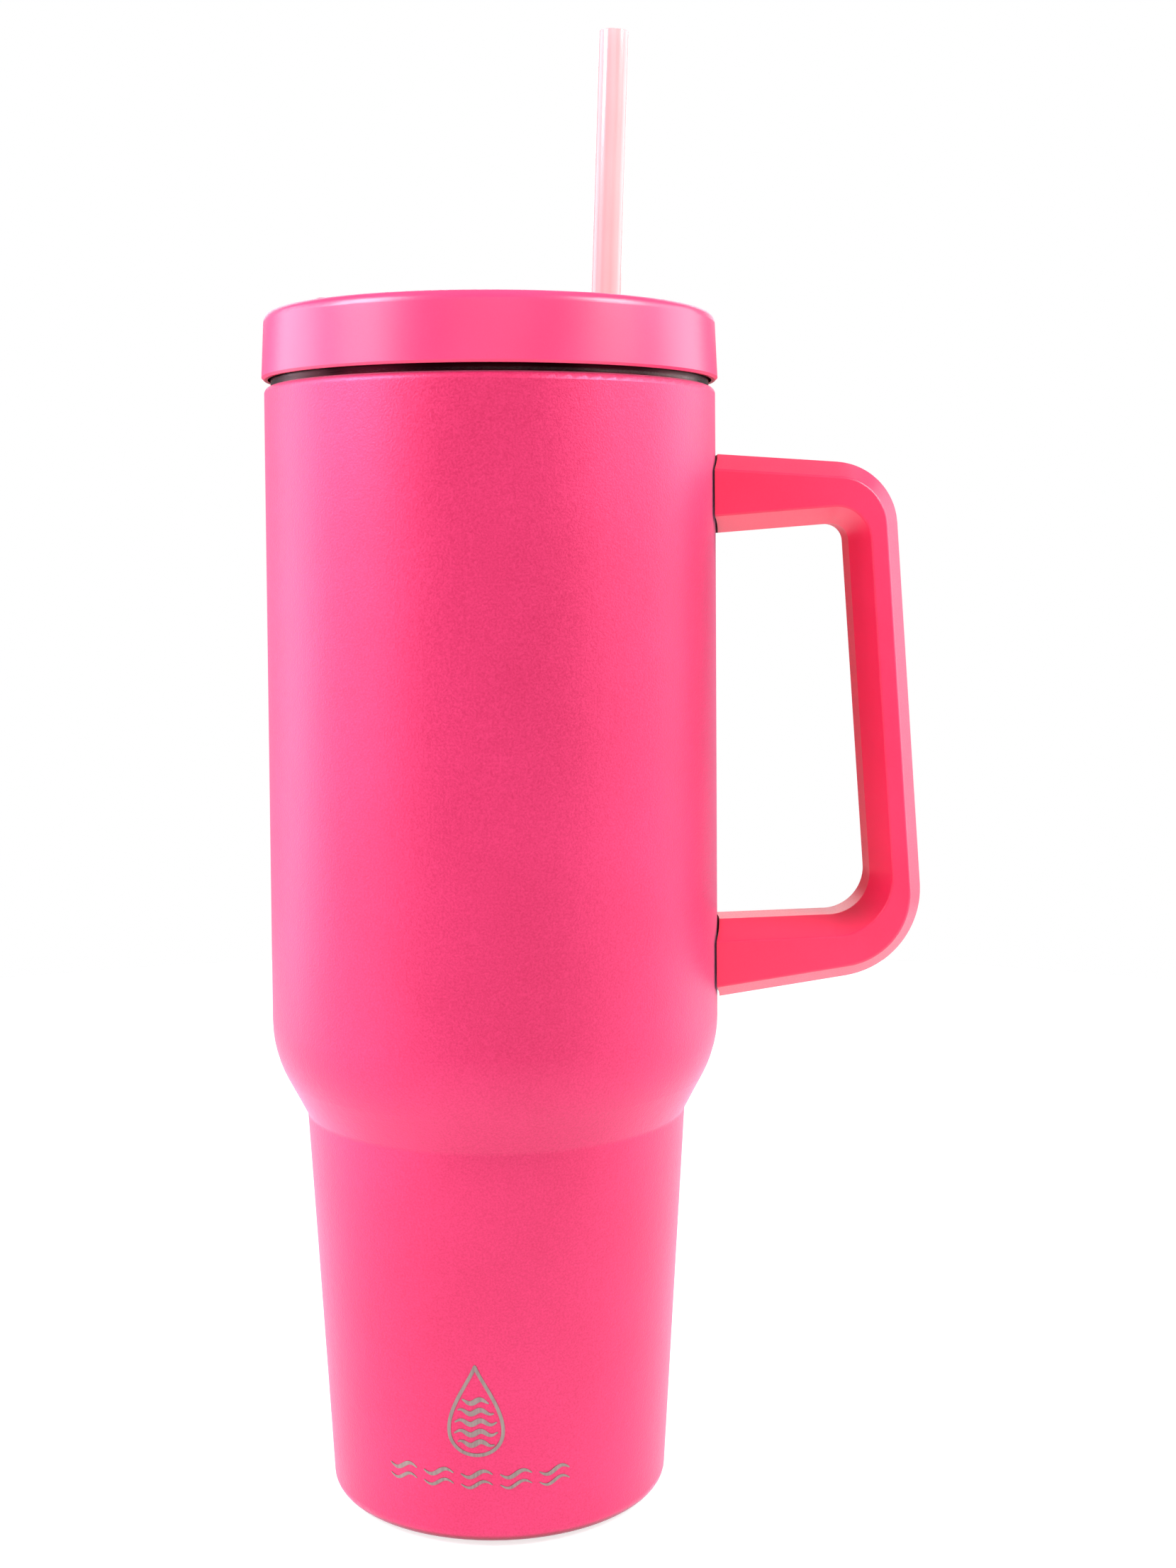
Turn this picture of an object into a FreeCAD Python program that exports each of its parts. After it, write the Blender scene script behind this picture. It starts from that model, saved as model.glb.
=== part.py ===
import FreeCAD, Part
import math
import os
import re

import Sketcher

# Insulated tumbler: a double-wall steel cup with a handle, a press-in lid with a turning cover, and a straw.
# Millimetres. +Z is up, the origin is the centre of the base where it stands, the handle points along +X.

doc = FreeCAD.newDocument("tumbler")

# ---------------------------------------------------------------- driving dimensions
SIZES = {
    # outer shell
    "body_radius": 48.6,
    "body_top_radius": 47.7,
    "shell_wall": 0.6,
    "foot_lift": 0.6,
    "foot_radius": 36.7,
    "foot_round": 3.1,
    "foot_opening": 32.6,
    "kink_radius": 41.4,
    "kink_height": 85.3,
    "kink_round": 2.0,
    "step_height": 99.2,
    "step_round": 26.0,
    "wall_shift": 0.26,
    "coat_height": 240.4,
    "coat_round": 1.5,
    "neck_radius": 46.3,
    "rim_height": 244.8,
    "rim_seam": 45.0,
    # inner liner
    "liner_radius": 44.5,
    "vacuum_gap": 2.9,
    "liner_wall": 0.5,
    "liner_floor": 6.5,
    "liner_foot": 33.36,
    "liner_round": 6.0,
    # base
    "plate_radius": 33.3,
    "plate_wall": 0.6,
    "dimple_radius": 6.0,
    "dimple_rise": 1.6,
    "evacuation_hole": 0.8,
    "seal_radius": 3.5,
    "getter_place": -16.0,
    "getter_radius": 5.0,
    "getter_height": 2.2,
    "clip_wall": 0.4,
    "clip_width": 4.0,
    "pad_radius": 32.2,
    "pad_gap": 0.05,
    "groove_depth": 0.4,
    # handle outline, seen from the side
    "handle_width": 25.0,
    "handle_root": 45.0,
    "handle_gap": 0.45,
    "outer_top_root": 226.6,
    "outer_top_reach": 85.6,
    "outer_top_height": 224.0,
    "outer_top_round": 14.0,
    "outer_low_reach": 93.7,
    "outer_low_height": 116.4,
    "outer_low_round": 19.0,
    "outer_low_root": 109.0,
    "inner_low_root": 126.3,
    "inner_low_reach": 82.2,
    "inner_low_height": 127.4,
    "inner_low_round": 9.0,
    "inner_top_reach": 75.9,
    "inner_top_height": 212.0,
    "inner_top_round": 3.8,
    "inner_top_root": 209.6,
    "facet_depth": 3.5,
    "outer_facet": 6.9,
    "inner_facet": 8.2,
    "facet_round": 0.6,
    # handle brackets and screws
    "upper_bracket_height": 218.2,
    "lower_bracket_height": 118.6,
    "bracket_thickness": 7.0,
    "bracket_reach": 64.0,
    "bracket_width": 9.0,
    "bracket_foot_reach": 49.4,
    "bracket_foot_width": 12.0,
    "bracket_clearance": 0.2,
    "screw_place": 57.0,
    "screw_radius": 1.95,
    "screw_clearance": 0.15,
    "screw_head_radius": 3.5,
    "screw_head_height": 2.0,
    "screw_length": 9.6,
    "screw_seat": 1.6,
    "counterbore_radius": 3.9,
    "recess_depth": 1.1,
    # lid
    "lid_radius": 48.2,
    "lid_top_radius": 47.5,
    "lid_low": 241.9,
    "lid_top": 255.7,
    "lid_round": 2.2,
    "lid_lip_round": 1.0,
    "lid_undercut": 0.5,
    "lid_bore": 46.9,
    "lid_seat": 245.1,
    "lid_recess": 44.2,
    "skirt_radius": 42.3,
    "skirt_wall": 2.0,
    "skirt_low": 231.0,
    "deck_low": 247.7,
    "deck_top": 250.7,
    "gasket_low": 236.4,
    "gasket_height": 3.2,
    "gasket_depth": 1.4,
    "gasket_radius": 43.9,
    # cover and pivot
    "cover_radius": 43.8,
    "cover_low": 251.05,
    "cover_top": 253.5,
    "cover_rim": 254.2,
    "pin_radius": 2.5,
    "pin_low": 246.0,
    "pin_head_radius": 7.5,
    "pin_seat": 253.0,
    "pin_top": 254.9,
    "retainer_radius": 5.5,
    "retainer_height": 0.8,
    "washer_radius": 6.0,
    "washer_depth": 0.8,
    "opening_radius": 32.0,
    "opening_half": 4.0,
    "opening_swing": 28.0,
    "window_half": 5.0,
    "window_swing": 34.0,
    "cover_turn": 60.0,
    "seal_half": 5.9,
    "seal_swing": 36.0,
    "seal_recess": 252.0,
    "straw_slot_half": 4.1,
    "tab_root_in": 14.0,
    "tab_top_in": 20.0,
    "tab_top_out": 37.0,
    "tab_root_out": 39.6,
    "tab_height": 259.2,
    "tab_width": 8.0,
    "tab_round": 1.2,
    "vent_radius": 1.0,
    # straw
    "straw_radius": 3.15,
    "straw_bore": 2.65,
    "straw_low": 10.5,
    "straw_length": 304.0,
    "straw_foot": 15.9,
    "straw_lean": 2.0,
    "straw_end_round": 0.2,
    "grommet_hole": 5.2,
    "grommet_flange": 6.6,
    "grommet_lip": 6.0,
    "grommet_clearance": 0.08,
}

TOUCHING = 1e-3  # points closer than this are the same place

sheet = doc.addObject("Spreadsheet::Sheet", "Sizes")
for row, (alias, number) in enumerate(SIZES.items(), start=1):
    sheet.set(f"A{row}", alias)
    sheet.set(f"B{row}", str(number))
    sheet.setAlias(f"B{row}", alias)
doc.recompute()


def cell(text):
    """An expression in plain size names, written with the sheet's name in front of each."""
    return re.sub(r"[a-z]\w*", lambda word: "Sizes." + word[0] if word[0] in SIZES else word[0], text)


def number_of(text):
    """The present value of an expression in size names."""
    return float(sheet.evalExpression(cell(str(text))))


def bind(thing, **sizes_of):
    """Tie properties of an object to expressions in size names."""
    for prop, text in sizes_of.items():
        thing.setExpression(prop, cell(str(text)))


# ---------------------------------------------------------------- building blocks
def new_body(name):
    body = doc.addObject("PartDesign::Body", name)
    body.Label = name
    return body


def origin_plane(body, role):
    return next(feature for feature in body.Origin.OriginFeatures if feature.Role == role)


def new_sketch(body, name, role):
    sketch = body.newObject("Sketcher::SketchObject", name)
    sketch.AttachmentSupport = [(origin_plane(body, role), "")]
    sketch.MapMode = "FlatFace"
    return sketch


def hold_point(sketch, geometry, vertex, across, up):
    """Fix one sketch point at a place given by two size expressions."""
    for kind, axis, text in (("DistanceX", -2, across), ("DistanceY", -1, up)):
        if abs(number_of(text)) < 1e-9:
            sketch.addConstraint(Sketcher.Constraint("PointOnObject", geometry, vertex, axis))
            continue
        place = Sketcher.Constraint(kind, -1, 1, geometry, vertex, number_of(text))
        index = sketch.addConstraint(place)
        sketch.setExpression(f"Constraints[{index}]", cell(str(text)))


def rounded_corner(before, here, after, radius):
    """The arc that rounds a corner, and which of its ends meets the edge that arrives."""
    back = (before - here).normalize()
    ahead = (after - here).normalize()
    half = back.getAngle(ahead) / 2
    centre = here + (back + ahead).normalize() * (radius / math.sin(half))
    first = here + back * (radius / math.tan(half)) - centre
    last = here + ahead * (radius / math.tan(half)) - centre
    anticlockwise = first.cross(last).z > 0
    start, end = (first, last) if anticlockwise else (last, first)
    low = math.atan2(start.y, start.x)
    high = math.atan2(end.y, end.x)
    if high < low:
        high += 2 * math.pi
    circle = Part.Circle(centre, FreeCAD.Vector(0, 0, 1), radius)
    return Part.ArcOfCircle(circle, low, high), 1 if anticlockwise else 2, first + centre, last + centre


def draw_outline(sketch, corners):
    """A closed outline through corners (across, up) or (across, up, rounding), as size expressions."""
    points = [FreeCAD.Vector(number_of(c[0]), number_of(c[1]), 0) for c in corners]
    count = len(corners)
    rounds = []
    for i, corner in enumerate(corners):
        if len(corner) == 3:
            after = points[(i + 1) % count]
            rounds.append(rounded_corner(points[i - 1], points[i], after, number_of(corner[2])))
        else:
            rounds.append((None, None, points[i], points[i]))
    edges = []
    for i in range(count):
        edge = Part.LineSegment(rounds[i][3], rounds[(i + 1) % count][2])
        edges.append(sketch.addGeometry(edge, False))
    for i, corner in enumerate(corners):
        arriving, leaving = edges[i - 1], edges[i]
        if len(corner) == 2:
            sketch.addConstraint(Sketcher.Constraint("Coincident", arriving, 2, leaving, 1))
            hold_point(sketch, leaving, 1, corner[0], corner[1])
            continue
        arc, near_end, _, _ = rounds[i]
        arc_id = sketch.addGeometry(arc, False)
        point_id = sketch.addGeometry(Part.Point(points[i]), True)
        hold_point(sketch, point_id, 1, corner[0], corner[1])
        sketch.addConstraint(Sketcher.Constraint("PointOnObject", point_id, 1, arriving))
        sketch.addConstraint(Sketcher.Constraint("PointOnObject", point_id, 1, leaving))
        sketch.addConstraint(Sketcher.Constraint("Tangent", arriving, 2, arc_id, near_end))
        sketch.addConstraint(Sketcher.Constraint("Tangent", arc_id, 3 - near_end, leaving, 1))
        index = sketch.addConstraint(Sketcher.Constraint("Radius", arc_id, number_of(corner[2])))
        sketch.setExpression(f"Constraints[{index}]", cell(str(corner[2])))


def turned(name, corners):
    """A body turned about Z from an outline of (radius, height) corners."""
    body = new_body(name)
    sketch = new_sketch(body, name + "_outline", "XZ_Plane")
    draw_outline(sketch, corners)
    turn = body.newObject("PartDesign::Revolution", name + "_turn")
    turn.Profile = sketch
    turn.ReferenceAxis = (sketch, ["V_Axis"])
    turn.Angle = 360
    body.Tip = turn
    return body


def add_pad(body, name, role, corners, thickness, symmetric=True):
    """A padded outline, centred on the plane it is drawn on or standing on it."""
    sketch = new_sketch(body, name + "_outline", role)
    draw_outline(sketch, corners)
    pad = body.newObject("PartDesign::Pad", name + "_pad")
    pad.Profile = sketch
    pad.Midplane = symmetric
    bind(pad, Length=thickness)
    body.Tip = pad
    return pad


def place_primitive(body, kind, name, at, turned_by=None, **sizes_of):
    """An additive or subtractive primitive of a body, standing on the XY plane."""
    primitive = body.newObject("PartDesign::" + kind, name)
    primitive.AttachmentSupport = [(origin_plane(body, "XY_Plane"), "")]
    primitive.MapMode = "FlatFace"
    rotation = turned_by or FreeCAD.Rotation()
    primitive.AttachmentOffset = FreeCAD.Placement(FreeCAD.Vector(), rotation)
    for letter, text in zip("xyz", at):
        primitive.setExpression("AttachmentOffset.Base." + letter, cell(str(text)))
    bind(primitive, **sizes_of)
    body.Tip = primitive
    return primitive


def add_cylinder(body, kind, name, at, radius, height, turned_by=None):
    return place_primitive(body, kind + "Cylinder", name, at, turned_by, Radius=radius, Height=height)


def add_box(body, name, at, length, width, height):
    return place_primitive(
        body, "SubtractiveBox", name, at, None, Length=length, Width=width, Height=height
    )


def arc_slot(body, name, feature, mid_radius, half_width, low, high, middle, swing):
    """A slot (Groove) or a bar (Revolution) along an arc about Z, with round ends, angles in degrees."""
    sketch = new_sketch(body, name + "_section", "XZ_Plane")
    turn = FreeCAD.Rotation(FreeCAD.Vector(0, 1, 0), number_of(middle))
    sketch.AttachmentOffset = FreeCAD.Placement(FreeCAD.Vector(), turn)
    inside = f"{mid_radius} - ({half_width})"
    outside = f"{mid_radius} + {half_width}"
    draw_outline(sketch, [(inside, low), (outside, low), (outside, high), (inside, high)])
    sweep = body.newObject("PartDesign::" + feature, name + "_sweep")
    sweep.Profile = sketch
    sweep.ReferenceAxis = (sketch, ["V_Axis"])
    sweep.Midplane = True
    bind(sweep, Angle=swing)
    body.Tip = sweep
    kind = "Subtractive" if feature == "Groove" else "Additive"
    for side, sign in (("first", "-"), ("last", "+")):
        angle = f"(({middle}) {sign} ({swing}) / 2) * 1deg"
        at = (f"({mid_radius}) * cos({angle})", f"({mid_radius}) * sin({angle})", low)
        height = f"({high}) - ({low})"
        add_cylinder(body, kind, f"{name}_{side}_end", at, half_width, height)


def edges_where(feature, test):
    """Names of a feature's edges whose every sampled point passes the test."""
    names = []
    for index, edge in enumerate(feature.Shape.Edges, start=1):
        low, high = edge.ParameterRange
        samples = [edge.valueAt(low + (high - low) * share) for share in (0.0, 0.25, 0.5, 0.75, 1.0)]
        if all(test(point) for point in samples):
            names.append(f"Edge{index}")
    return names


def add_fillet(body, name, base, names, radius):
    fillet = body.newObject("PartDesign::Fillet", name)
    fillet.Base = (base, names)
    bind(fillet, Radius=radius)
    body.Tip = fillet
    doc.recompute()
    return fillet


# ---------------------------------------------------------------- cup
def make_outer_shell():
    inner = "body_radius - shell_wall"
    inner_top = "body_top_radius - shell_wall"
    lift = "shell_wall * wall_shift"
    turned("outer_shell", [
        ("foot_opening", "foot_lift"),
        ("foot_radius", "foot_lift", "foot_round"),
        ("kink_radius", "kink_height", "kink_round"),
        ("body_radius", "step_height", "step_round"),
        ("body_top_radius", "coat_height", "coat_round"),
        ("neck_radius", "coat_height"),
        ("neck_radius", "rim_height", "neck_radius - rim_seam - 0.01"),
        ("rim_seam", "rim_height"),
        ("rim_seam", "rim_height - shell_wall"),
        ("neck_radius - shell_wall", "rim_height - shell_wall"),
        ("neck_radius - shell_wall", "coat_height - shell_wall"),
        (inner_top, "coat_height - shell_wall", "coat_round - shell_wall"),
        (inner, f"step_height + {lift}", "step_round - shell_wall"),
        ("kink_radius - shell_wall", f"kink_height + {lift}", "kink_round + shell_wall"),
        ("foot_radius - shell_wall", "foot_lift + shell_wall", "foot_round - shell_wall"),
        ("foot_opening", "foot_lift + shell_wall"),
    ])


def make_inner_liner():
    inset = "(shell_wall + vacuum_gap)"
    inside = "(shell_wall + vacuum_gap + liner_wall)"
    bore = "liner_radius - liner_wall"
    turned("inner_liner", [
        ("0", "liner_floor"),
        ("liner_foot", "liner_floor", "liner_round"),
        (f"kink_radius - {inset}", f"kink_height + {inset} * wall_shift", f"kink_round + {inset}"),
        ("liner_radius", f"step_height + {inset} * wall_shift", f"step_round - {inset}"),
        ("liner_radius", "rim_height - shell_wall"),
        ("rim_seam", "rim_height - shell_wall"),
        ("rim_seam", "rim_height"),
        (bore, "rim_height", "liner_wall"),
        (bore, f"step_height + {inside} * wall_shift", f"step_round - {inside}"),
        (f"kink_radius - {inside}", f"kink_height + {inside} * wall_shift", f"kink_round + {inside}"),
        ("liner_foot - liner_wall", "liner_floor + liner_wall", "liner_round - liner_wall"),
        ("0", "liner_floor + liner_wall"),
    ])


def make_base():
    under = "foot_lift + shell_wall"
    turned("outer_bottom", [
        ("evacuation_hole", f"{under} + dimple_rise"),
        ("dimple_radius - 0.5", f"{under} + dimple_rise"),
        ("dimple_radius + 1.5", under),
        ("plate_radius", under),
        ("plate_radius", f"{under} + plate_wall"),
        ("dimple_radius + 2", f"{under} + plate_wall"),
        ("dimple_radius", f"{under} + plate_wall + dimple_rise"),
        ("evacuation_hole", f"{under} + plate_wall + dimple_rise"),
    ])
    turned("vacuum_seal", [
        ("0", f"{under} + 0.5"),
        ("seal_radius", f"{under} + 0.5", "0.8"),
        ("seal_radius", f"{under} + dimple_rise"),
        ("evacuation_hole", f"{under} + dimple_rise"),
        ("evacuation_hole", f"{under} + dimple_rise + plate_wall + 0.2"),
        ("0", f"{under} + dimple_rise + plate_wall + 0.2"),
    ])
    groove_radii = ("14", "20", "26")
    underside = []
    for radius in groove_radii:
        underside += [(radius, "0"), (radius, "groove_depth")]
        underside += [(f"{radius} + 1.5", "groove_depth"), (f"{radius} + 1.5", "0")]
    turned("base_pad", [("0", "0")] + underside + [
        ("pad_radius", "0", "0.4"),
        ("pad_radius", f"{under} - pad_gap"),
        ("0", f"{under} - pad_gap"),
    ])


def make_getter():
    plate_top = "foot_lift + shell_wall + plate_wall"
    getter = turned("getter", [
        ("0", "0"),
        ("getter_radius", "0"),
        ("getter_radius", "getter_height", "0.5"),
        ("0", "getter_height"),
    ])
    getter.setExpression("Placement.Base.x", cell("getter_place"))
    getter.setExpression("Placement.Base.z", cell(plate_top))
    clip = new_body("getter_clip")
    leg = "getter_radius + 0.1"
    outside = f"{leg} + clip_wall"
    top = "getter_height + 0.05"
    add_pad(clip, "getter_clip", "XZ_Plane", [
        (f"-({leg})", "0"),
        (f"-({leg})", top),
        (leg, top),
        (leg, "0"),
        (f"{outside} + 2.5", "0"),
        (f"{outside} + 2.5", "clip_wall"),
        (outside, "clip_wall"),
        (outside, f"{top} + clip_wall"),
        (f"-({outside})", f"{top} + clip_wall"),
        (f"-({outside})", "clip_wall"),
        (f"-({outside}) - 2.5", "clip_wall"),
        (f"-({outside}) - 2.5", "0"),
    ], "clip_width")
    clip.setExpression("Placement.Base.x", cell("getter_place"))
    clip.setExpression("Placement.Base.z", cell(plate_top))


# ---------------------------------------------------------------- handle and its fixings
def wall_at(height):
    """Radius of the upper body, which widens slightly downwards, at a height."""
    share = f"(({height}) - step_height) / (coat_height - step_height)"
    return f"body_radius + (body_top_radius - body_radius) * {share}"


def cut_wall_seat(body, name, low, tall, lift, gap):
    """Hollow a fixing's end to the upper body's wall; lift is the height of the fixing's own origin."""
    at_low = f"{wall_at(f'{low} + {lift}')} + {gap}"
    at_high = f"{wall_at(f'{low} + {tall} + {lift}')} + {gap}"
    place_primitive(body, "SubtractiveCone", name, ("0", "0", low), None,
                    Radius1=at_low, Radius2=at_high, Height=tall)


def make_bracket(name, height):
    bracket = new_body(name)
    root = "handle_root + 1"
    add_pad(bracket, name, "XY_Plane", [
        (root, "-bracket_foot_width / 2"),
        ("bracket_foot_reach", "-bracket_foot_width / 2"),
        ("bracket_foot_reach", "-bracket_width / 2"),
        ("bracket_reach", "-bracket_width / 2", "1.5"),
        ("bracket_reach", "bracket_width / 2", "1.5"),
        ("bracket_foot_reach", "bracket_width / 2"),
        ("bracket_foot_reach", "bracket_foot_width / 2"),
        (root, "bracket_foot_width / 2"),
    ], "bracket_thickness")
    low = "-bracket_thickness / 2 - 1"
    through = "bracket_thickness + 2"
    cut_wall_seat(bracket, name + "_seat", low, through, height, "0")
    hole_radius = "screw_radius + 0.05"
    add_cylinder(bracket, "Subtractive", name + "_thread", ("screw_place", "0", low), hole_radius, through)
    bracket.setExpression("Placement.Base.z", cell(height))


def handle_underside(arm):
    """Height of an arm's underside at the screw, as an expression."""
    if arm == "upper":
        root, reach, tip = "inner_top_root", "inner_top_reach", "inner_top_height"
    else:
        root, reach, tip = "outer_low_root", "outer_low_reach", "outer_low_height"
    return f"{root} + ({tip} - {root}) * (screw_place - handle_root) / ({reach} - handle_root)"


def screw_head_face(arm):
    """Height of the outer face of a screw's head."""
    return f"{arm}_bracket_height - bracket_thickness / 2 - screw_seat - screw_head_height"


def make_handle():
    body = new_body("handle")
    pad = add_pad(body, "handle", "XZ_Plane", [
        ("handle_root", "outer_top_root"),
        ("outer_top_reach", "outer_top_height", "outer_top_round"),
        ("outer_low_reach", "outer_low_height", "outer_low_round"),
        ("handle_root", "outer_low_root"),
        ("handle_root", "inner_low_root"),
        ("inner_low_reach", "inner_low_height", "inner_low_round"),
        ("inner_top_reach", "inner_top_height", "inner_top_round"),
        ("handle_root", "inner_top_root"),
    ], "handle_width")
    doc.recompute()
    side = number_of("handle_width / 2")
    root = number_of("handle_root")
    grip_top = FreeCAD.Vector(number_of("(outer_top_reach + inner_top_reach) / 2"), 0,
                              number_of("(outer_top_height + inner_top_height) / 2"))
    grip_low = FreeCAD.Vector(number_of("(outer_low_reach + inner_low_reach) / 2"), 0,
                              number_of("(outer_low_height + inner_low_height) / 2"))

    def is_outer(point):
        """Whether a point lies outside the line through the middle of the arms and the grip."""
        share = (grip_top.z - point.z) / (grip_top.z - grip_low.z)
        middle = grip_top.x + share * (grip_low.x - grip_top.x)
        return share < 0 or share > 1 or point.x > middle

    def ends_at_root(edge):
        return all(abs(vertex.X - root) < TOUCHING for vertex in edge.Vertexes)

    last = pad
    for label, outer, first_size, second_size in (
        ("outer", True, "outer_facet", "facet_depth"),
        ("inner", False, "facet_depth", "inner_facet"),
    ):
        def wanted(point):
            return abs(abs(point.y) - side) < TOUCHING and is_outer(point) == outer

        names = [name for name in edges_where(last, wanted) if not ends_at_root(last.Shape.getElement(name))]
        facet = body.newObject("PartDesign::Chamfer", f"handle_{label}_facet")
        facet.Base = (last, names)
        facet.ChamferType = "Two distances"
        bind(facet, Size=first_size, Size2=second_size)
        body.Tip = facet
        doc.recompute()
        last = facet

    names = []
    for index, edge in enumerate(last.Shape.Edges, start=1):
        across = abs(edge.Vertexes[0].Y - edge.Vertexes[-1].Y) > TOUCHING
        if not across and not ends_at_root(edge):
            names.append(f"Edge{index}")
    add_fillet(body, "handle_rounding", last, names, "facet_round")

    tall = "(outer_top_root - outer_low_root + 20)"
    cut_wall_seat(body, "handle_seat", "outer_low_root - 10", tall, "0", "handle_gap")
    for arm in ("upper", "lower"):
        pocket_low = f"{arm}_bracket_height - bracket_thickness / 2 - bracket_clearance"
        pocket_tall = "bracket_thickness + 2 * bracket_clearance"
        for part, reach, width in (
            ("tongue", "bracket_reach", "bracket_width"),
            ("foot", "bracket_foot_reach", "bracket_foot_width"),
        ):
            half = f"{width} / 2 + bracket_clearance"
            at = ("handle_root", f"-({half})", pocket_low)
            length = f"{reach} + bracket_clearance - handle_root"
            add_box(body, f"handle_{arm}_{part}_pocket", at, length, f"2 * ({half})", pocket_tall)
        head_face = screw_head_face(arm)
        bore_low = f"{handle_underside(arm)} - 3"
        at = ("screw_place", "0", bore_low)
        deep = f"{head_face} + screw_head_height - ({bore_low})"
        add_cylinder(body, "Subtractive", f"handle_{arm}_counterbore", at, "counterbore_radius", deep)
        hole = "screw_radius + screw_clearance"
        at = ("screw_place", "0", head_face)
        add_cylinder(body, "Subtractive", f"handle_{arm}_screw_hole", at, hole, "screw_head_height + screw_seat + 1")


def make_screw(arm):
    name = f"{arm}_handle_screw"
    screw = turned(name, [
        ("0", "0"),
        ("screw_head_radius", "0", "0.7"),
        ("screw_head_radius", "screw_head_height"),
        ("screw_radius", "screw_head_height"),
        ("screw_radius", "screw_length - 0.8"),
        ("screw_radius - 0.8", "screw_length"),
        ("0", "screw_length"),
    ])
    arm_half, arm_width = "2", "1"
    for turn, (length, width) in enumerate(((f"2 * {arm_half}", arm_width), (arm_width, f"2 * {arm_half}"))):
        at = (f"-({length}) / 2", f"-({width}) / 2", "-1")
        add_box(screw, f"{name}_recess_{turn}", at, length, width, "recess_depth + 1")
    screw.setExpression("Placement.Base.x", cell("screw_place"))
    screw.setExpression("Placement.Base.z", cell(screw_head_face(arm)))


# ---------------------------------------------------------------- lid
def straw_place_at(height):
    """Distance of the straw's centre line from the cup's axis at a height."""
    return f"straw_foot + ({height} - straw_low) * tan(straw_lean * 1deg)"


def make_lid_body():
    groove_top = "gasket_low + gasket_height"
    groove_floor = "skirt_radius - gasket_depth"
    lid = turned("lid_body", [
        ("lid_bore", "lid_low"),
        ("lid_radius - lid_undercut", "lid_low"),
        ("lid_radius", "lid_low + lid_undercut"),
        ("lid_top_radius", "lid_top", "lid_round"),
        ("lid_recess", "lid_top", "lid_lip_round"),
        ("lid_recess", "deck_top", "0.5"),
        ("pin_radius + 0.05", "deck_top"),
        ("pin_radius + 0.05", "deck_low"),
        ("skirt_radius - skirt_wall", "deck_low", "1.5"),
        ("skirt_radius - skirt_wall", "skirt_low", "0.6"),
        ("skirt_radius", "skirt_low", "0.8"),
        ("skirt_radius", "gasket_low"),
        (groove_floor, "gasket_low"),
        (groove_floor, groove_top),
        ("skirt_radius", groove_top),
        ("skirt_radius", "lid_seat"),
        ("lid_bore", "lid_seat"),
    ])
    hole_at = straw_place_at("deck_top - 1.5")
    deep = "deck_top - deck_low + 2"
    flange_low = "deck_top - 1"
    below = "deck_low - 1"
    add_cylinder(lid, "Subtractive", "straw_hole", (hole_at, "0", below), "grommet_hole", deep)
    add_cylinder(lid, "Subtractive", "grommet_recess", (hole_at, "0", flange_low), "grommet_flange", "3")
    washer_floor = "deck_top - washer_depth"
    add_cylinder(lid, "Subtractive", "washer_recess", ("0", "0", washer_floor), "washer_radius + 0.2", "3")
    arc_slot(lid, "drink_opening", "Groove", "opening_radius", "opening_half", below, "deck_top + 1",
             "180", "opening_swing")
    add_cylinder(lid, "Subtractive", "vent", ("0", "-opening_radius", below), "vent_radius", deep)
    return lid


def make_lid_gasket():
    inside = "skirt_radius - gasket_depth + 0.05"
    neck = "skirt_radius + 0.3"
    turned("lid_gasket", [
        (inside, "gasket_low + 0.05"),
        (neck, "gasket_low + 0.05"),
        ("gasket_radius", "gasket_low + 0.7"),
        ("gasket_radius", "gasket_low + 1.0"),
        (neck, "gasket_low + 1.5"),
        (neck, "gasket_low + 1.8"),
        ("gasket_radius", "gasket_low + 2.4"),
        ("gasket_radius", "gasket_low + 2.7"),
        (neck, "gasket_low + gasket_height - 0.05"),
        (inside, "gasket_low + gasket_height - 0.05"),
    ])


def make_straw_grommet():
    name = "straw_grommet"
    hole_at = straw_place_at("deck_top - 1.5")
    grommet = turned(name, [
        ("0", "deck_low - 1.1"),
        ("grommet_lip", "deck_low - 1.1", "0.4"),
        ("grommet_lip", "deck_low - 0.05"),
        ("grommet_hole - 0.05", "deck_low - 0.05"),
        ("grommet_hole - 0.05", "deck_top - 0.95"),
        ("grommet_flange - 0.1", "deck_top - 0.95"),
        ("grommet_flange - 0.1", "deck_top - 0.05"),
        ("0", "deck_top - 0.05"),
    ])
    grommet.setExpression("Placement.Base.x", cell(hole_at))
    low = "deck_low - 10"
    at = (f"{straw_place_at(low)} - ({hole_at})", "0", low)
    lean = FreeCAD.Rotation(FreeCAD.Vector(0, 1, 0), number_of("straw_lean"))
    bore = "straw_radius + grommet_clearance"
    add_cylinder(grommet, "Subtractive", name + "_bore", at, bore, "20", lean)


def make_pivot():
    turned("pivot_pin", [
        ("0", "pin_low"),
        ("pin_radius - 0.05", "pin_low", "0.6"),
        ("pin_radius - 0.05", "pin_seat"),
        ("pin_head_radius", "pin_seat"),
        ("pin_head_radius", "pin_top - 0.9", "0.3"),
        ("pin_head_radius - 2.5", "pin_top", "1.5"),
        ("0", "pin_top"),
    ])
    turned("pivot_retainer", [
        ("pin_radius", "deck_low - 0.05 - retainer_height"),
        ("retainer_radius", "deck_low - 0.05 - retainer_height", "0.3"),
        ("retainer_radius", "deck_low - 0.05"),
        ("pin_radius", "deck_low - 0.05"),
    ])
    turned("pivot_washer", [
        ("pin_radius + 0.2", "deck_top - washer_depth + 0.02"),
        ("washer_radius", "deck_top - washer_depth + 0.02"),
        ("washer_radius", "cover_low - 0.07", "0.2"),
        ("pin_radius + 0.2", "cover_low - 0.07"),
    ])


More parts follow.
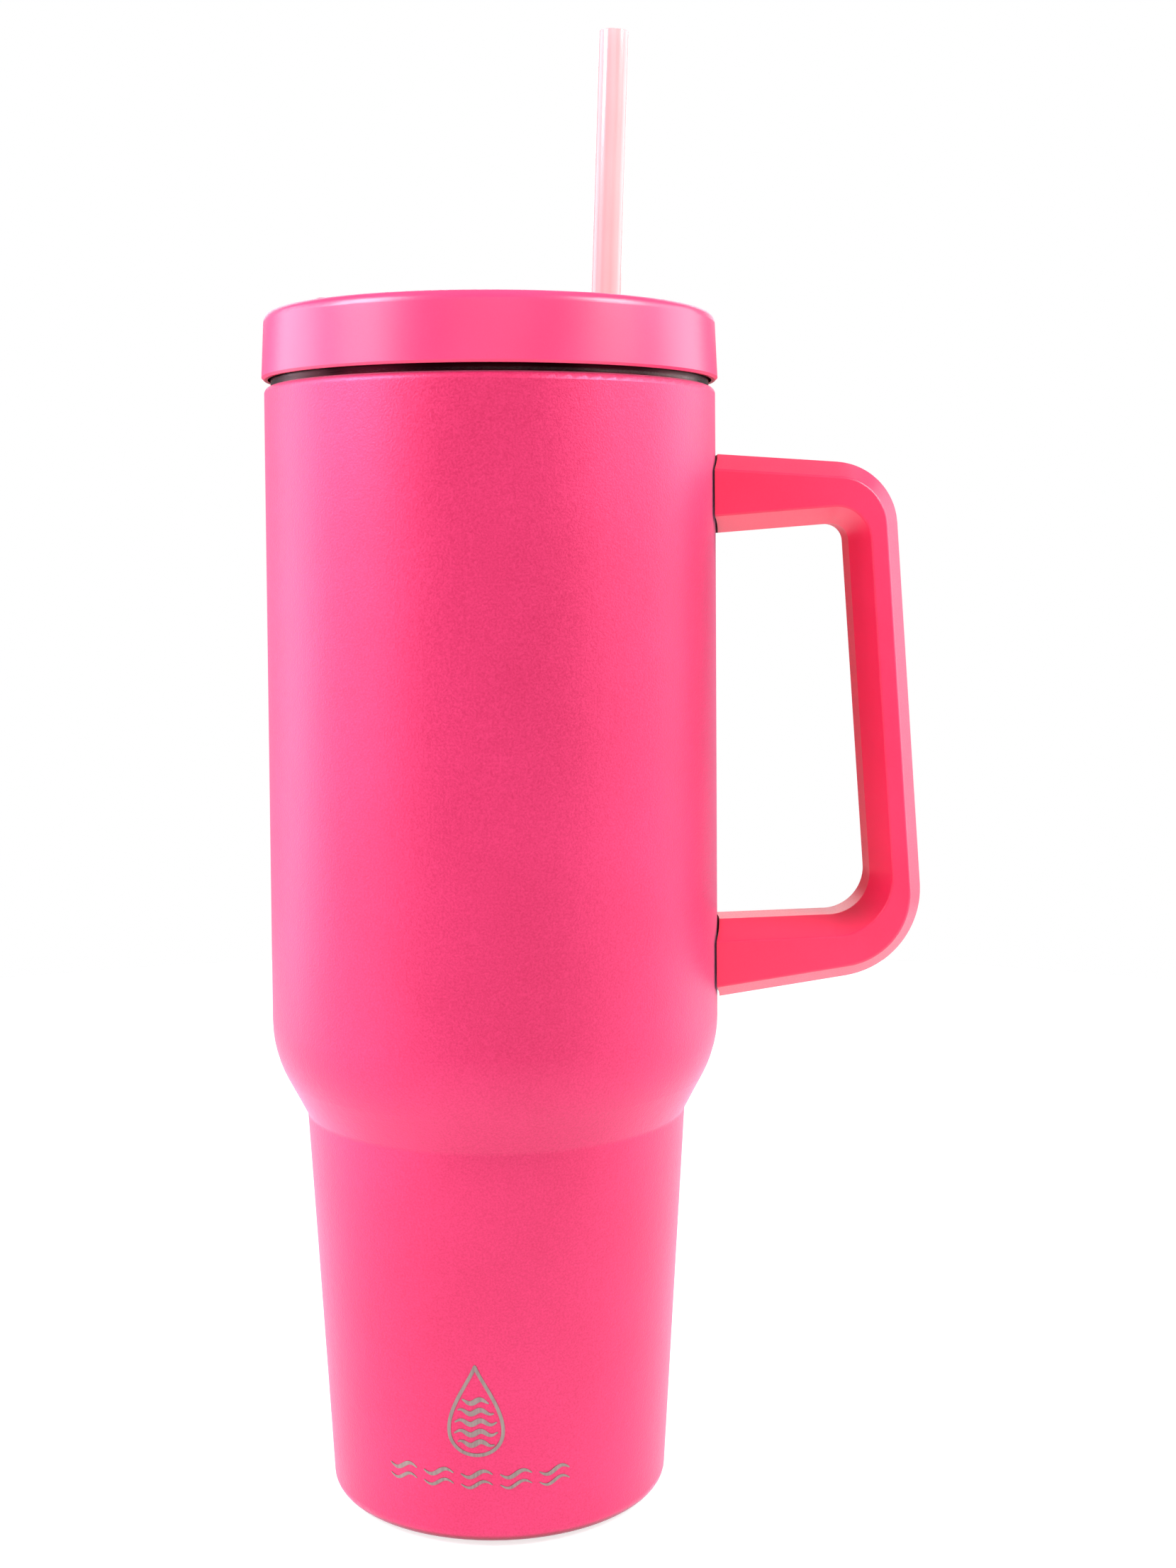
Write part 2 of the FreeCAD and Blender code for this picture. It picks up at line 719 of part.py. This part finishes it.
def make_rotating_cover():
    name = "rotating_cover"
    cover = turned(name, [
        ("pin_radius + 0.05", "cover_low"),
        ("cover_radius", "cover_low", "0.3"),
        ("cover_radius", "cover_rim", "0.6"),
        ("cover_radius - 2.2", "cover_rim", "0.6"),
        ("cover_radius - 3.2", "cover_top", "0.6"),
        ("pin_head_radius + 0.5", "cover_top", "0.2"),
        ("pin_head_radius + 0.5", "pin_seat - 0.1"),
        ("pin_radius + 0.05", "pin_seat - 0.1"),
    ])
    tab = add_pad(cover, "thumb_tab", "XZ_Plane", [
        ("-tab_root_in", "cover_top - 0.8"),
        ("-tab_top_in", "tab_height", "3"),
        ("-tab_top_out", "tab_height", "2.5"),
        ("-tab_root_out", "cover_top - 0.8"),
    ], "tab_width")
    doc.recompute()
    half = number_of("tab_width / 2")
    cover_top = number_of("cover_top")

    def tab_edge(point):
        return abs(abs(point.y) - half) < TOUCHING and point.z > cover_top - TOUCHING

    names = []
    for edge_name in edges_where(tab, tab_edge):
        edge = tab.Shape.getElement(edge_name)
        if edge.BoundBox.ZMax > cover_top + TOUCHING:
            names.append(edge_name)
    add_fillet(cover, "thumb_tab_rounding", tab, names, "tab_round")
    over, under = "cover_rim + 1", "cover_low - 1"
    window_middle = "180 - cover_turn"
    arc_slot(cover, "drink_window", "Groove", "opening_radius", "window_half", under, over,
             window_middle, "window_swing")
    slot_radius = f"({straw_place_at('cover_low + 1')})"
    arc_slot(cover, "straw_slot", "Groove", slot_radius, "straw_slot_half", under, over,
             "-cover_turn / 2", "cover_turn + 2")
    arc_slot(cover, "seal_recess", "Groove", "opening_radius", "seal_half + 0.1", under, "seal_recess",
             "180", "seal_swing")
    vent_angle = "(-90 - cover_turn) * 1deg"
    vent_at = (f"opening_radius * cos({vent_angle})", f"opening_radius * sin({vent_angle})", under)
    add_cylinder(cover, "Subtractive", "cover_vent", vent_at, "vent_radius", "6")


def make_drink_seal():
    seal = new_body("drink_seal")
    arc_slot(seal, "seal_bar", "Revolution", "opening_radius", "seal_half", "deck_top + 0.1",
             "seal_recess - 0.05", "180", "seal_swing")


def make_straw():
    straw = turned("straw", [
        ("straw_bore", "0"),
        ("straw_radius", "0", "straw_end_round"),
        ("straw_radius", "straw_length", "straw_end_round"),
        ("straw_bore", "straw_length", "straw_end_round"),
    ])
    lean = FreeCAD.Rotation(FreeCAD.Vector(0, 1, 0), number_of("straw_lean"))
    straw.Placement = FreeCAD.Placement(FreeCAD.Vector(), lean)
    straw.setExpression("Placement.Base.x", cell("straw_foot"))
    straw.setExpression("Placement.Base.z", cell("straw_low"))


make_outer_shell()
make_inner_liner()
make_base()
make_getter()
make_bracket("upper_bracket", "upper_bracket_height")
make_bracket("lower_bracket", "lower_bracket_height")
make_handle()
make_screw("upper")
make_screw("lower")
make_lid_body()
make_lid_gasket()
make_straw_grommet()
make_pivot()
make_rotating_cover()
make_drink_seal()
make_straw()
doc.recompute()

# ---------------------------------------------------------------- checks and export
for thing in doc.Objects:
    faults = {"Invalid", "Error"} & set(thing.State)
    if faults:
        raise RuntimeError(f"{thing.Label} is in state {thing.State}")

sub_parts = [thing for thing in doc.Objects if thing.TypeId == "PartDesign::Body"]
for sub_part in sub_parts:
    shape = sub_part.Shape
    if shape.isNull() or not shape.isValid():
        raise RuntimeError(f"{sub_part.Label} has no valid shape")
    if len(shape.Solids) != 1:
        raise RuntimeError(f"{sub_part.Label} has {len(shape.Solids)} solids")

os.makedirs("parts", exist_ok=True)
for sub_part in sub_parts:
    sub_part.Shape.exportStep(f"parts/{sub_part.Label}.step")
    box = sub_part.Shape.BoundBox
    print(f"{sub_part.Label:22s} {sub_part.Shape.Volume / 1000:9.3f} cm3  "
          f"x {box.XMin:7.2f} {box.XMax:7.2f}  y {box.YMin:7.2f} {box.YMax:7.2f}  z {box.ZMin:7.2f} {box.ZMax:7.2f}")
print(len(sub_parts), "sub-parts")
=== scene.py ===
import math

import bmesh
import bpy
from mathutils import Matrix, Vector


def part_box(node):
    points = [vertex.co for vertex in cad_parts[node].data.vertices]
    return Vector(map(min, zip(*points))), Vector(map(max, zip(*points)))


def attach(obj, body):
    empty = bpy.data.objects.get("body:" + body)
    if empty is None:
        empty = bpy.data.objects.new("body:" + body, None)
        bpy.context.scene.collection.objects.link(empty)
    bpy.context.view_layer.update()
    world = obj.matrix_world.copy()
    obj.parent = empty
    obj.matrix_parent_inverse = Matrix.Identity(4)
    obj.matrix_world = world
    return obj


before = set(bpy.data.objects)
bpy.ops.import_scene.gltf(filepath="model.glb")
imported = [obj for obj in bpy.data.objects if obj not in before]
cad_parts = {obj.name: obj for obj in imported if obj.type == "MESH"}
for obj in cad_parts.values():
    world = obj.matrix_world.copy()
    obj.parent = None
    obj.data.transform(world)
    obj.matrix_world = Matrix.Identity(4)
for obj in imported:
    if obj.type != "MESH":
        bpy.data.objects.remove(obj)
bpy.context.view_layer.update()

# Looks for the insulated tumbler. Metres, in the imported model's frame: +Z up, the origin at the centre
# of the base, the handle towards +X, and the camera on the -Y side.

MM = 0.001
SHELL_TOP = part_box("outer_shell")[1].z

# Colours, linear
COAT_DEEP = (0.52, 0.010, 0.077)
COAT_LIGHT = (0.70, 0.030, 0.140)
HANDLE_DEEP = (0.78, 0.018, 0.080)
HANDLE_LIGHT = (0.84, 0.032, 0.110)
LID_DEEP = (0.78, 0.034, 0.126)
LID_LIGHT = (0.84, 0.052, 0.164)
STRAW_PINK = (0.66, 0.23, 0.24)
STRAW_PALE = (0.76, 0.31, 0.32)
STRAW_PAINTED_GLOW = (1.0, 0.60, 0.61, 1.0)  # painted glow, standing in for light carried inside the see-through plastic
STEEL_DARK = (0.33, 0.31, 0.30)
STEEL_LIGHT = (0.60, 0.58, 0.56)
LINER_DARK = (0.58, 0.56, 0.54)
LINER_LIGHT = (0.76, 0.74, 0.72)
# Painted shade colour for the neck steel under the lid
NECK_SHADE = (0.026, 0.002, 0.005)
# Painted shade colour for gaps and corners of the coat and the moulded plastic
CREVICE_SHADE_RED = (0.24, 0.002, 0.010)
MARK_DARK = (0.20, 0.155, 0.145)
MARK_LIGHT = (0.36, 0.29, 0.27)
PAD_DEEP = (0.20, 0.006, 0.024)
PAD_LIGHT = (0.28, 0.012, 0.036)
SILICONE_DEEP = (0.70, 0.66, 0.65)
SILICONE_LIGHT = (0.82, 0.79, 0.78)
GLASS_DEEP = (0.03, 0.04, 0.035)
GLASS_LIGHT = (0.08, 0.10, 0.09)

# Heights over which the coat turns from a painted contact shadow, a dark red line at the foot, to its full
# colour
FOOT_SHADOW_SPAN = (1.8 * MM, 2.7 * MM)
# The coat's edge at the neck, with bare steel above it, and half the width of the fade between them
COAT_EDGE = SHELL_TOP - 4.35 * MM
EDGE_FADE = 0.03 * MM
# How far the painted shade in gaps and corners reaches
CREVICE_SHADE_REACH = 3 * MM
NECK_SHADE_REACH = 6 * MM


# ---------------------------------------------------------------- node helpers
class Shading:
    """A node material on object coordinates, in metres."""

    def __init__(self, name, roughness=0.5, metallic=0.0):
        self.material = bpy.data.materials.new(name)
        self.material.use_nodes = True
        self.tree = self.material.node_tree
        self.shader = self.tree.nodes["Principled BSDF"]
        self.shader.inputs["Roughness"].default_value = roughness
        self.shader.inputs["Metallic"].default_value = metallic
        self.place = self.tree.nodes.new("ShaderNodeTexCoord").outputs["Object"]

    def node(self, kind, **settings):
        node = self.tree.nodes.new(kind)
        for key, setting in settings.items():
            setattr(node, key, setting)
        return node

    def link(self, source, target):
        self.tree.links.new(source, target)

    def stretched(self, along):
        """Object coordinates scaled along X, Y and Z."""
        mapping = self.node("ShaderNodeMapping")
        mapping.inputs["Scale"].default_value = along
        self.link(self.place, mapping.inputs["Vector"])
        return mapping.outputs["Vector"]

    def noise(self, grain, detail=2.0, along=(1, 1, 1), rough=0.5):
        """Noise whose grain is a size in metres."""
        texture = self.node("ShaderNodeTexNoise")
        texture.inputs["Scale"].default_value = 1.0 / grain
        texture.inputs["Detail"].default_value = detail
        texture.inputs["Roughness"].default_value = rough
        self.link(self.stretched(along), texture.inputs["Vector"])
        return texture.outputs["Fac"]

    def spans(self, value, low, high, at=(0.3, 0.7)):
        """Map a value from the range at onto low to high."""
        remap = self.node("ShaderNodeMapRange")
        remap.inputs["From Min"].default_value = at[0]
        remap.inputs["From Max"].default_value = at[1]
        remap.inputs["To Min"].default_value = low
        remap.inputs["To Max"].default_value = high
        self.link(value, remap.inputs["Value"])
        return remap.outputs["Result"]

    def combine(self, first, second, how="ADD"):
        """Two values, or a value and a number, added or joined by another operation."""
        node = self.node("ShaderNodeMath", operation=how)
        for socket, value in zip(node.inputs, (first, second)):
            if isinstance(value, (int, float)):
                socket.default_value = value
            else:
                self.link(value, socket)
        return node.outputs["Value"]

    def blend(self, share, first, second):
        """A colour between two, by share."""
        mix = self.node("ShaderNodeMix", data_type="RGBA")
        self.link(share, mix.inputs["Factor"])
        for socket, colour in ((mix.inputs[6], first), (mix.inputs[7], second)):
            if isinstance(colour, tuple):
                socket.default_value = (*colour, 1.0)
            else:
                self.link(colour, socket)
        return mix.outputs[2]

    def openness(self, reach, shut, clear):
        """How open the surroundings are within reach, as a mask for painted shade: 0 up to the share shut, 1
        from the share clear on.
        """
        shelter = self.node("ShaderNodeAmbientOcclusion", samples=8)
        shelter.inputs["Distance"].default_value = reach
        return self.spans(shelter.outputs["AO"], 0.0, 1.0, at=(shut, clear))

    def bump(self, height, depth, strength=1.0, under=None):
        """A normal bent by a height, over another bump where one is given."""
        node = self.node("ShaderNodeBump")
        node.inputs["Strength"].default_value = strength
        node.inputs["Distance"].default_value = depth
        self.link(height, node.inputs["Height"])
        if under is not None:
            self.link(under, node.inputs["Normal"])
        return node.outputs["Normal"]

    def feed(self, colour=None, roughness=None, normal=None):
        """Link what varies over the surface to the shader."""
        for name, source in (("Base Color", colour), ("Roughness", roughness), ("Normal", normal)):
            if source is not None:
                self.link(source, self.shader.inputs[name])

    def set(self, **constants):
        """Set what is the same all over on the shader's own sockets."""
        for name, constant in constants.items():
            self.shader.inputs[name.replace("_", " ")].default_value = constant


def powder_coat():
    """Satin powder coat, with bare brushed steel above the coat's edge at the neck, painted shade in gaps and
    corners and on the neck under the lid, and a painted contact shadow round the foot.
    """
    look = Shading("powder_coat_look")
    clouds = look.noise(0.045, detail=3)
    speckle = look.noise(0.00042, detail=2, rough=0.6)
    peel = look.noise(0.0022, detail=1)
    tone = look.combine(look.spans(clouds, 0.0, 0.4), look.spans(speckle, 0.0, 0.6))
    height = look.node("ShaderNodeSeparateXYZ")
    look.link(look.place, height.inputs["Vector"])
    # Painted contact shadow: the coat is dark red up to a few millimetres above the base
    above_foot_shadow = look.spans(height.outputs["Z"], 0.0, 1.0, at=FOOT_SHADOW_SPAN)
    # Painted shade in gaps and corners, joined with the painted shadow at the foot
    clear = look.combine(look.openness(CREVICE_SHADE_REACH, 0.30, 0.75), above_foot_shadow, "MULTIPLY")
    colour = look.blend(clear, CREVICE_SHADE_RED, look.blend(tone, COAT_DEEP, COAT_LIGHT))
    grit = look.bump(speckle, 0.00008, 0.8)
    normal = look.bump(peel, 0.00010, 0.35, under=grit)
    look.feed(colour, look.spans(speckle, 0.38, 0.50), normal)
    look.set(Metallic=0.30, Specular_IOR_Level=0.5, Sheen_Weight=0.40, Sheen_Roughness=0.40,
             Sheen_Tint=(1.0, 0.55, 0.84, 1))

    steel = look.node("ShaderNodeBsdfPrincipled")
    steel.inputs["Metallic"].default_value = 1.0
    turned = look.noise(0.0006, detail=2, along=(0.05, 0.05, 1.0))
    # Painted shade on the bare neck where the lid overhangs it
    neck_unshaded = look.openness(NECK_SHADE_REACH, 0.75, 1.0)
    neck_colour = look.blend(neck_unshaded, NECK_SHADE, look.blend(turned, STEEL_DARK, STEEL_LIGHT))
    look.link(neck_colour, steel.inputs["Base Color"])
    look.link(look.spans(turned, 0.22, 0.40), steel.inputs["Roughness"])
    bare = look.spans(height.outputs["Z"], 0.0, 1.0, at=(COAT_EDGE - EDGE_FADE, COAT_EDGE + EDGE_FADE))
    mix = look.node("ShaderNodeMixShader")
    look.link(bare, mix.inputs["Fac"])
    look.link(look.shader.outputs["BSDF"], mix.inputs[1])
    look.link(steel.outputs["BSDF"], mix.inputs[2])
    look.link(mix.outputs["Shader"], look.tree.nodes["Material Output"].inputs["Surface"])
    return look.material


def moulded_plastic(name, deep, light, roughness, grain):
    """Moulded plastic: slow tone drift, a fine spark-eroded grain, slight sink marks and painted shade in
    gaps and corners.
    """
    look = Shading(name)
    drift = look.noise(0.030, detail=2)
    fine = look.noise(grain, detail=2, rough=0.6)
    sink = look.noise(0.012, detail=1)
    tone = look.combine(look.spans(drift, 0.0, 0.7), look.spans(fine, 0.0, 0.3))
    normal = look.bump(sink, 0.00025, 0.12, under=look.bump(fine, 0.00003, 0.35))
    # Painted shade: darker red in gaps and corners
    colour = look.blend(look.openness(CREVICE_SHADE_REACH, 0.35, 0.80), CREVICE_SHADE_RED, look.blend(tone, deep, light))
    look.feed(colour, look.spans(fine, roughness - 0.05, roughness + 0.05), normal)
    look.set(Specular_IOR_Level=0.5)
    return look.material


def brushed_steel(name, dark, light, roughness, along=(0.05, 0.05, 1.0), metallic=1.0):
    """Steel with fine brushing round the axis and faint cloudy staining."""
    look = Shading(name, metallic=metallic)
    lines = look.noise(0.0005, detail=3, along=along)
    stain = look.noise(0.02, detail=3)
    tone = look.combine(look.spans(lines, 0.0, 0.7), look.spans(stain, 0.0, 0.3))
    normal = look.bump(lines, 0.00002, 0.5)
    look.feed(look.blend(tone, dark, light), look.spans(lines, roughness - 0.06, roughness + 0.08), normal)
    return look.material


def soft_rubber(name, deep, light, roughness):
    """Rubber, silicone or fused glass: a fine grain under a faint film of dust."""
    look = Shading(name)
    dust = look.noise(0.004, detail=4)
    grain = look.noise(0.0004, detail=2)
    look.feed(look.blend(look.spans(dust, 0.0, 1.0), deep, light),
              look.spans(grain, roughness - 0.08, roughness + 0.08),
              look.bump(grain, 0.00004, 0.4))
    return look.material


def straw_plastic():
    """See-through pale-pink extruded tube with faint draw lines along its length and a painted glow."""
    look = Shading("straw_look")
    draw = look.noise(0.0016, detail=1, along=(1.0, 1.0, 0.006))
    cloud = look.noise(0.02, detail=2)
    tone = look.combine(look.spans(draw, 0.0, 0.6), look.spans(cloud, 0.0, 0.4))
    look.feed(look.blend(tone, STRAW_PINK, STRAW_PALE), look.spans(draw, 0.12, 0.18),
              look.bump(draw, 0.00004, 0.25))
    # Painted glow: the straw gives off a little light of its own
    look.set(Alpha=0.74, Specular_IOR_Level=0.5, Emission_Color=STRAW_PAINTED_GLOW, Emission_Strength=0.32)
    return look.material


LOOKS = {
    "powder_coat": powder_coat(),
    "handle": moulded_plastic("handle_look", HANDLE_DEEP, HANDLE_LIGHT, 0.37, 0.00035),
    "lid": moulded_plastic("lid_look", LID_DEEP, LID_LIGHT, 0.33, 0.00030),
    "cover": moulded_plastic("cover_look", LID_DEEP, LID_LIGHT, 0.33, 0.00030),
    "steel": brushed_steel("bare_steel_look", STEEL_DARK, STEEL_LIGHT, 0.28),
    "liner": brushed_steel("liner_look", LINER_DARK, LINER_LIGHT, 0.34, metallic=0.6),
    "screw": brushed_steel("screw_steel_look", STEEL_DARK, STEEL_LIGHT, 0.32, along=(1, 1, 1)),
    "pad": soft_rubber("pad_look", PAD_DEEP, PAD_LIGHT, 0.75),
    "silicone": soft_rubber("silicone_look", SILICONE_DEEP, SILICONE_LIGHT, 0.45),
    "seal_glass": soft_rubber("seal_glass_look", GLASS_DEEP, GLASS_LIGHT, 0.2),
    "straw": straw_plastic(),
    "mark": brushed_steel("mark_look", MARK_DARK, MARK_LIGHT, 0.50, along=(1.0, 1.0, 0.1)),
}
NODE_LOOKS = {
    "outer_shell": "powder_coat",
    "inner_liner": "liner",
    "outer_bottom": "steel",
    "vacuum_seal": "seal_glass",
    "getter": "steel",
    "getter_clip": "steel",
    "base_pad": "pad",
    "upper_bracket": "steel",
    "lower_bracket": "steel",
    "handle": "handle",
    "upper_handle_screw": "screw",
    "lower_handle_screw": "screw",
    "lid_body": "lid",
    "lid_gasket": "silicone",
    "straw_grommet": "silicone",
    "pivot_pin": "cover",
    "pivot_retainer": "screw",
    "pivot_washer": "silicone",
    "rotating_cover": "cover",
    "drink_seal": "silicone",
    "straw": "straw",
}
for node_name, look_name in NODE_LOOKS.items():
    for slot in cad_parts[node_name].material_slots:
        slot.material = LOOKS[look_name]


# ---------------------------------------------------------------- engraved mark
# A plain water drop with waves, laser-cut through the coat low on the front, with a row of small waves below.
# Sizes here are in millimetres. The lower body is a cone from the foot up to the kink under the step.
CONE_FOOT_RADIUS = 36.7
CONE_KINK_RADIUS = 41.4
CONE_KINK_HEIGHT = 85.3
MARK_MIDDLE = math.radians(-7.5)
MARK_SUNK = 0.02
MARK_PROUD = 0.03
TAPER_END = 0.25

DROP_HALF = 6.2
DROP_FULLNESS = 1.30
DROP_LOW = 20.6
DROP_TIP = 40.0
DROP_LINE = 0.75
DROP_STEPS = 36

WAVE_COUNT = 5
WAVE_FIRST = 2.6
WAVE_GAP = 2.3
WAVE_INSET = 1.1
WAVE_SWELL = 0.45
WAVE_LENGTH = 4.2
WAVE_LINE = 1.15
WAVE_STEPS = 40

CREST_COUNT = 5
CREST_GAP = 8.2
CREST_HALF = 3.3
CREST_LEVEL = 16.4
CREST_SWELL = 0.75
CREST_LINE = 0.95
TROUGH_DROP = 2.3
TROUGH_LINE = 0.75


def on_cone(across, height, out):
    """A place on the lower cone: across is an arc length from the mark's middle, out is off the coat."""
    radius = CONE_FOOT_RADIUS + (CONE_KINK_RADIUS - CONE_FOOT_RADIUS) * height / CONE_KINK_HEIGHT
    turn = MARK_MIDDLE + across / radius
    reach = radius + out
    return Vector((reach * math.sin(turn), -reach * math.cos(turn), height)) * MM


def add_line(name, path, width, closed=False, tapered=False):
    """A thin closed plate that follows a path of (across, height) points on the cone."""
    shape = bmesh.new()
    rings = []
    count = len(path)
    for i, (across, height) in enumerate(path):
        before = path[(i - 1) % count] if closed or i > 0 else path[i]
        after = path[(i + 1) % count] if closed or i < count - 1 else path[i]
        step = Vector((after[0] - before[0], after[1] - before[1])).normalized()
        share = i / (count - 1)
        swell = TAPER_END + (1 - TAPER_END) * math.sin(math.pi * share)
        half = width / 2 * (swell if tapered else 1.0)
        side = Vector((-step.y, step.x)) * half
        ring = []
        for sign, out in ((1, -MARK_SUNK), (1, MARK_PROUD), (-1, MARK_PROUD), (-1, -MARK_SUNK)):
            ring.append(shape.verts.new(on_cone(across + sign * side.x, height + sign * side.y, out)))
        rings.append(ring)
    spans = count if closed else count - 1
    for i in range(spans):
        here, there = rings[i], rings[(i + 1) % count]
        for corner in range(4):
            beside = (corner + 1) % 4
            shape.faces.new((here[corner], here[beside], there[beside], there[corner]))
    if not closed:
        shape.faces.new(rings[0])
        shape.faces.new(tuple(reversed(rings[-1])))
    bmesh.ops.recalc_face_normals(shape, faces=shape.faces)
    mesh = bpy.data.meshes.new(name)
    shape.to_mesh(mesh)
    shape.free()
    mesh.materials.append(LOOKS["mark"])
    line = bpy.data.objects.new(name, mesh)
    bpy.context.collection.objects.link(line)
    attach(line, "cup")


def drop_half_width(share):
    """Half width of the drop at a share of its height, from the bottom up."""
    turn = math.acos(1 - 2 * share)
    return DROP_HALF * DROP_FULLNESS * math.sin(turn) * math.cos(turn / 2) ** 1.5


def drop_outline():
    """The drop's closed outline, from its bottom up the right side and down the left."""
    tall = DROP_TIP - DROP_LOW
    right = []
    for i in range(1, DROP_STEPS):
        share = (1 - math.cos(math.pi * i / DROP_STEPS)) / 2
        right.append((drop_half_width(share), DROP_LOW + tall * share))
    left = [(-across, height) for across, height in reversed(right)]
    return [(0.0, DROP_LOW)] + right + [(0.0, DROP_TIP)] + left


def wave(low, high, level, swell, length):
    """Points of a sine wave between two places across."""
    points = []
    for i in range(WAVE_STEPS + 1):
        across = low + (high - low) * i / WAVE_STEPS
        points.append((across, level + swell * math.sin(2 * math.pi * across / length)))
    return points


def make_mark():
    add_line("mark_drop", drop_outline(), DROP_LINE, closed=True)
    for index in range(WAVE_COUNT):
        level = DROP_LOW + WAVE_FIRST + WAVE_GAP * index
        half = drop_half_width((level - DROP_LOW) / (DROP_TIP - DROP_LOW)) - WAVE_INSET
        path = wave(-half, half, level, WAVE_SWELL, WAVE_LENGTH)
        add_line(f"mark_wave_{index}", path, WAVE_LINE, tapered=True)
    for index in range(CREST_COUNT):
        middle = (index - (CREST_COUNT - 1) / 2) * CREST_GAP
        crest = wave(-CREST_HALF, CREST_HALF, CREST_LEVEL, CREST_SWELL, 2 * CREST_HALF)
        path = [(middle + across, height) for across, height in crest]
        add_line(f"mark_crest_{index}", path, CREST_LINE, tapered=True)
        under = [(across, height - TROUGH_DROP) for across, height in path]
        add_line(f"mark_trough_{index}", under, TROUGH_LINE, tapered=True)


# ---------------------------------------------------------------- floor, light, camera
FLOOR_RADIUS = 0.62
FLOOR_PALE = (0.45, 0.45, 0.45)
FLOOR_DULL = (0.443, 0.443, 0.443)
FLOOR_GLOW = 0.72
SKY_STRENGTH = 0.20


def floor_look():
    """Pale paper that glows a little, as on a light table."""
    look = Shading("floor_look", roughness=0.7)
    drift = look.noise(0.25, detail=2)
    look.feed(look.blend(drift, FLOOR_PALE, FLOOR_DULL))
    look.set(Emission_Color=(1.0, 1.0, 1.0, 1.0), Emission_Strength=FLOOR_GLOW)
    return look.material


def make_floor():
    mesh = bpy.data.meshes.new("floor")
    shape = bmesh.new()
    bmesh.ops.create_circle(shape, cap_ends=True, segments=96, radius=FLOOR_RADIUS)
    shape.to_mesh(mesh)
    shape.free()
    floor = bpy.data.objects.new("floor", mesh)
    mesh.materials.append(floor_look())
    bpy.context.collection.objects.link(floor)


def add_area(name, place, aim, width, height, power, colour=(1, 1, 1)):
    """A soft box at a place, turned to what it is aimed at."""
    data = bpy.data.lights.new(name, "AREA")
    data.shape = "RECTANGLE"
    data.size, data.size_y = width, height
    data.energy = power
    data.color = colour
    lamp = bpy.data.objects.new(name, data)
    lamp.location = place
    lamp.rotation_mode = "QUATERNION"
    lamp.rotation_quaternion = (Vector(aim) - Vector(place)).to_track_quat("-Z", "Y")
    bpy.context.collection.objects.link(lamp)


LILAC = (1.0, 0.93, 1.03)


def make_lights():
    middle = (0.0, 0.0, 0.15)
    add_area("left_back", (-0.85, 0.30, 0.28), middle, 0.6, 0.9, 6.6, LILAC)
    add_area("left_front", (-0.78, -0.40, 0.28), middle, 0.5, 0.9, 4.0, LILAC)
    add_area("left_high", (-0.42, -0.18, 0.52), middle, 0.25, 0.25, 4.0, LILAC)
    add_area("right_back", (0.85, 0.30, 0.28), middle, 0.6, 0.9, 5.9)
    add_area("right_front", (0.78, -0.40, 0.28), middle, 0.5, 0.9, 1.8)
    add_area("right_high", (0.42, -0.18, 0.52), middle, 0.25, 0.25, 3.8)
    add_area("front_fill", (0.0, -1.9, 0.9), middle, 1.4, 0.9, 5.0)
    add_area("back_fill", (0.0, 1.6, 0.9), middle, 1.6, 0.9, 11)
    add_area("ceiling", (0.0, 0.0, 1.9), middle, 1.8, 1.8, 3)


def make_world():
    """A dim even sky for the light, which the camera itself sees as plain white."""
    world = bpy.data.worlds.new("studio")
    bpy.context.scene.world = world
    world.use_nodes = True
    sky = world.node_tree.nodes["Background"]
    sky.inputs["Color"].default_value = (1, 1, 1, 1)
    sky.inputs["Strength"].default_value = SKY_STRENGTH
    seen = world.node_tree.nodes.new("ShaderNodeBackground")
    seen.inputs["Color"].default_value = (1, 1, 1, 1)
    path = world.node_tree.nodes.new("ShaderNodeLightPath")
    mix = world.node_tree.nodes.new("ShaderNodeMixShader")
    link = world.node_tree.links.new
    link(path.outputs["Is Camera Ray"], mix.inputs["Fac"])
    link(sky.outputs["Background"], mix.inputs[1])
    link(seen.outputs["Background"], mix.inputs[2])
    link(mix.outputs["Shader"], world.node_tree.nodes["World Output"].inputs["Surface"])


# The camera's place in metres, its turns in radians and its lens in millimetres
CAMERA_DISTANCE = 0.4552
CAMERA_HEIGHT = 0.2055
CAMERA_YAW = 0.0448
CAMERA_PITCH = 0.1089
CAMERA_ROLL = 0.0041
CAMERA_LENS = 48.35


def make_camera():
    data = bpy.data.cameras.new("camera")
    data.sensor_width = 36.0
    data.lens = CAMERA_LENS
    data.clip_start = 0.01
    camera = bpy.data.objects.new("camera", data)
    forward = Vector((
        math.sin(CAMERA_YAW) * math.cos(CAMERA_PITCH),
        math.cos(CAMERA_YAW) * math.cos(CAMERA_PITCH),
        -math.sin(CAMERA_PITCH),
    ))
    right = Vector((math.cos(CAMERA_YAW), -math.sin(CAMERA_YAW), 0.0))
    down = forward.cross(right)
    right_rolled = math.cos(CAMERA_ROLL) * right + math.sin(CAMERA_ROLL) * down
    down_rolled = math.cos(CAMERA_ROLL) * down - math.sin(CAMERA_ROLL) * right
    turn = Matrix((right_rolled, -down_rolled, -forward)).transposed()
    camera.rotation_mode = "QUATERNION"
    camera.rotation_quaternion = turn.to_quaternion()
    camera.location = (0.0, -CAMERA_DISTANCE, CAMERA_HEIGHT)
    bpy.context.collection.objects.link(camera)
    bpy.context.scene.camera = camera


make_mark()
make_floor()
make_lights()
make_world()
make_camera()
bpy.context.scene.view_settings.view_transform = "Standard"
